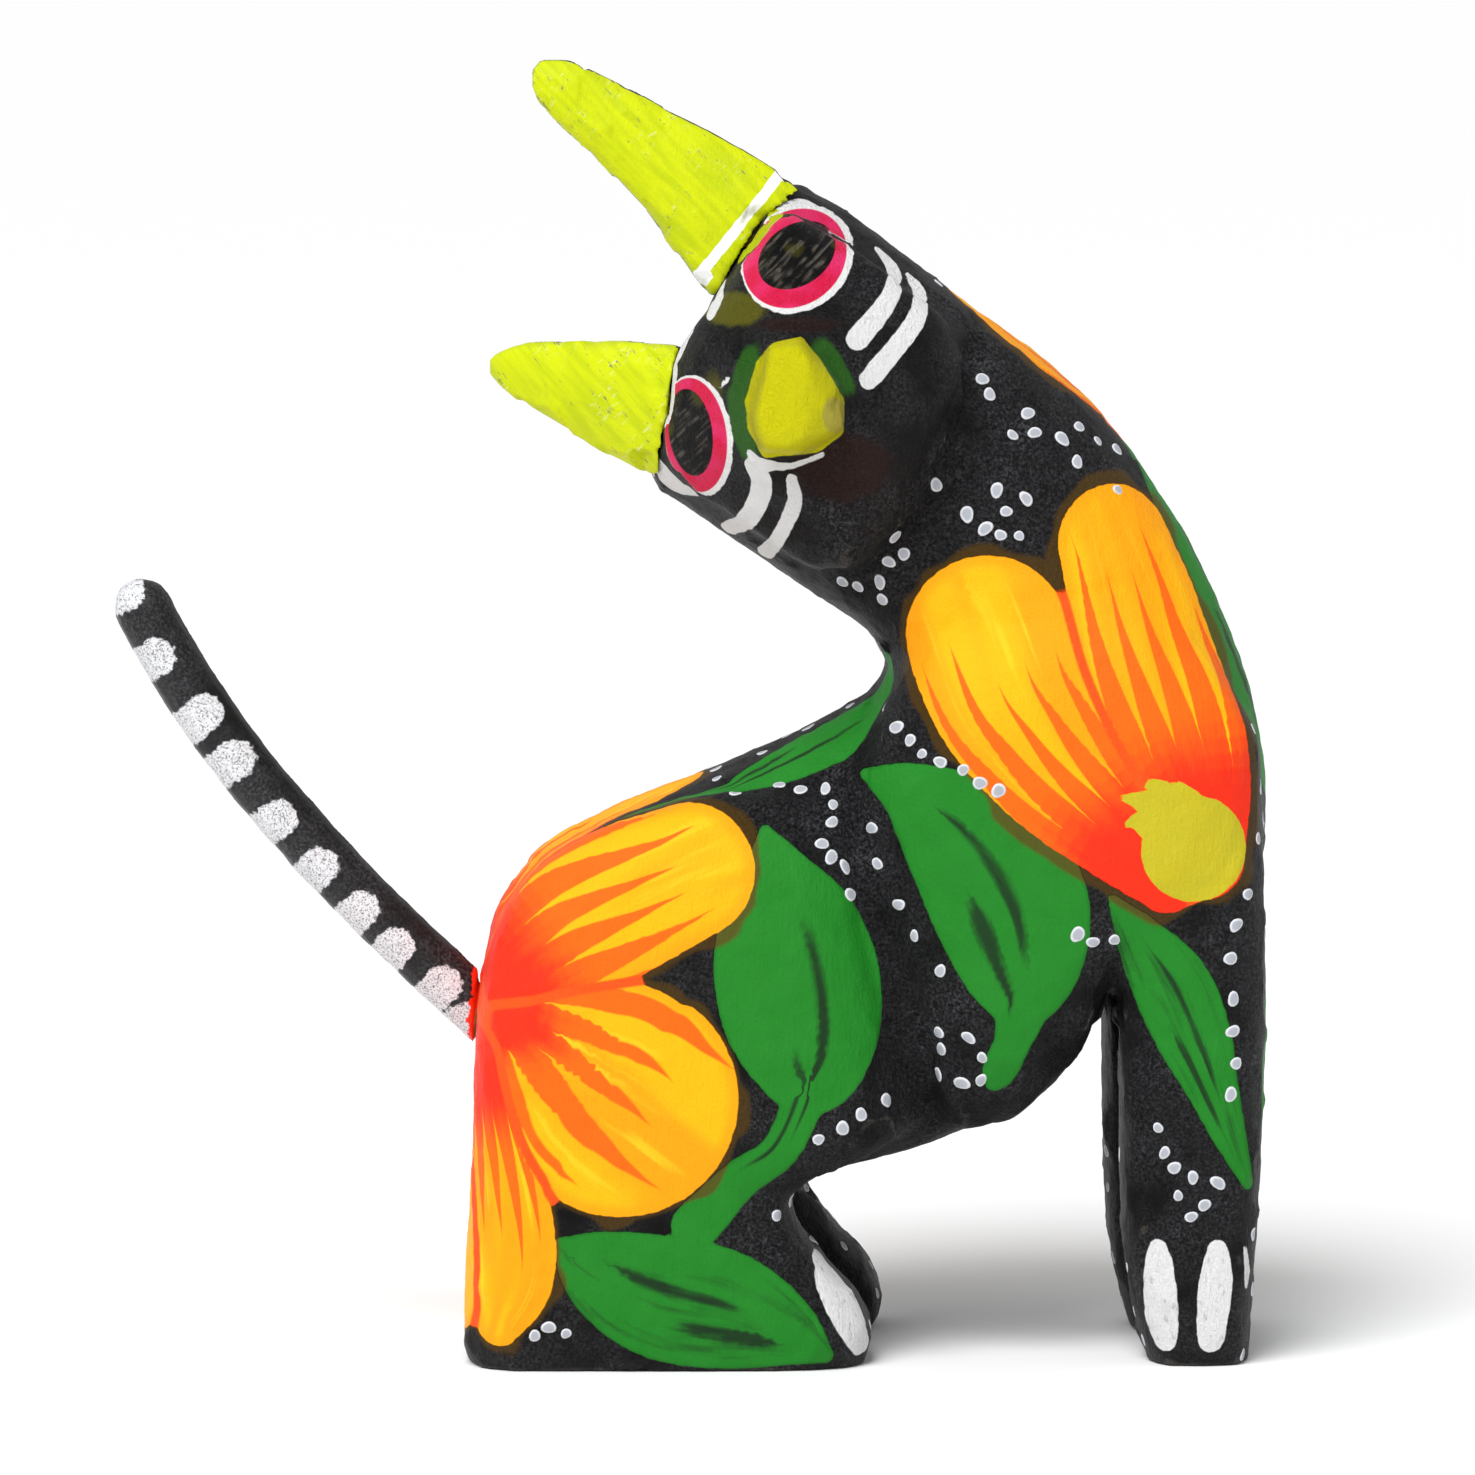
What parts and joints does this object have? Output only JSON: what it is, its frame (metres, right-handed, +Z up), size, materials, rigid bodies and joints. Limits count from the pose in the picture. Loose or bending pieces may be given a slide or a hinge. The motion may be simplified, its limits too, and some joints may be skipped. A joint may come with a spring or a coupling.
{
  "type": "painted wooden cat figure",
  "caption": "Small sitting cat whittled from one block of wood, its neck bent back over its body, with push-fit ears and tail, painted with flowers and leaves on black.",
  "frame": {"origin": "on the ground under the middle of the figure's box", "axes": "+Z up, +X from the tail towards the chest, the painted face looks to -Y"},
  "size_m": [0.0886, 0.033, 0.0992],
  "materials": {
    "body_paint": "carved wood under satin acrylic paint",
    "tail_paint": "whittled wood under satin acrylic paint with silver touches",
    "ear_paint": "whittled wood under satin acrylic paint"
  },
  "bodies": {
    "carving": {"body": "body_paint"},
    "tail": {"tail": "tail_paint"},
    "upper_ear": {"upper_ear": "ear_paint"},
    "lower_ear": {"lower_ear": "ear_paint"}
  },
  "joints": [
    {"name": "tail_pull", "type": "slide", "parent": "carving", "child": "tail", "axis": [-0.7314, 0, 0.682], "range_m": [0, 0.009]},
    {"name": "upper_ear_pull", "type": "slide", "parent": "carving", "child": "upper_ear", "axis": [-0.7773, 0, 0.6292], "range_m": [0, 0.0065]},
    {"name": "lower_ear_pull", "type": "slide", "parent": "carving", "child": "lower_ear", "axis": [-0.8003, 0.5703, 0.1851], "range_m": [0, 0.0065]}
  ]
}
